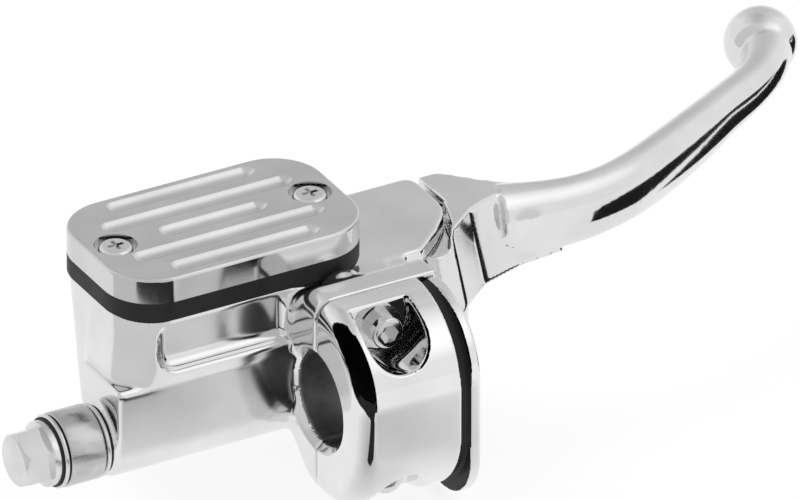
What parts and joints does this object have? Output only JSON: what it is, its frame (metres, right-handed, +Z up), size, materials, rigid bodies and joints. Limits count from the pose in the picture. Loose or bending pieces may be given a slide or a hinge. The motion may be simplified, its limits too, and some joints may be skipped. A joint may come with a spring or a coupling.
{
  "type": "brake master cylinder",
  "caption": "Handlebar-clamped hydraulic brake master cylinder with an oblong reservoir, a two-piece bar clamp, an outlet fitting and a pivoting ball-end hand lever.",
  "frame": {"origin": "on the handlebar's axis, at the middle of the clamp's width", "axes": "+X outboard along the handlebar towards the lever's tip, +Y forward, away from the rider, +Z up, along the lever's pivot"},
  "size_m": [0.275, 0.1266, 0.069],
  "materials": {
    "chrome_casting": "polished chrome on cast aluminium",
    "chrome_cover": "chrome, lightly satin on the flat top",
    "chrome_lever": "polished chrome on forged aluminium",
    "gasket_rubber": "moulded black rubber",
    "boot_rubber": "moulded black rubber",
    "seal_rubber": "moulded seal rubber",
    "screw_chrome": "chromed steel",
    "plated_steel": "zinc plated steel",
    "collar_steel": "satin machined steel",
    "spring_steel": "spring steel wire",
    "pin_steel": "ground steel",
    "anodised_piston": "clear anodised aluminium",
    "bushing_bronze": "sintered bronze",
    "retainer_steel": "pressed steel"
  },
  "bodies": {
    "body": {"master_cylinder_body": "chrome_casting", "reservoir_cover": "chrome_cover", "cover_gasket": "gasket_rubber", "cover_screws": "screw_chrome", "clamp_cap": "chrome_casting", "clamp_screws": "screw_chrome", "clamp_washers": "plated_steel", "pivot_pin": "pin_steel", "pivot_clip": "spring_steel", "return_spring": "spring_steel", "piston_stop_washer": "plated_steel", "bore_snap_ring": "spring_steel", "dust_boot": "boot_rubber", "banjo_bolt": "plated_steel", "banjo_collar": "collar_steel", "banjo_washer_inner": "plated_steel", "banjo_washer_outer": "plated_steel"},
    "lever": {"brake_lever": "chrome_lever", "lever_bushing": "bushing_bronze", "reaction_pin": "pin_steel"},
    "piston": {"piston": "anodised_piston", "primary_cup": "seal_rubber", "secondary_cup": "seal_rubber", "spring_retainer": "retainer_steel", "pushrod": "pin_steel"}
  },
  "joints": [
    {"name": "lever_pivot", "type": "hinge", "parent": "body", "child": "lever", "pos_m": [0.03, 0.0405, 0], "axis": [0, 0, -1], "range_deg": [0, 15], "stiffness_Nm_per_rad": 0.3, "springref_deg": -20.05},
    {"name": "piston_slide", "type": "slide", "parent": "body", "child": "piston", "axis": [-1, 0, 0], "range_m": [0, 0.0048], "stiffness_N_per_m": 400, "springref_m": -0.004, "deforming": ["return_spring"]}
  ],
  "couplings": [
    {"joint": "piston_slide", "follows": "lever_pivot", "m_per_rad": 0.01795}
  ]
}
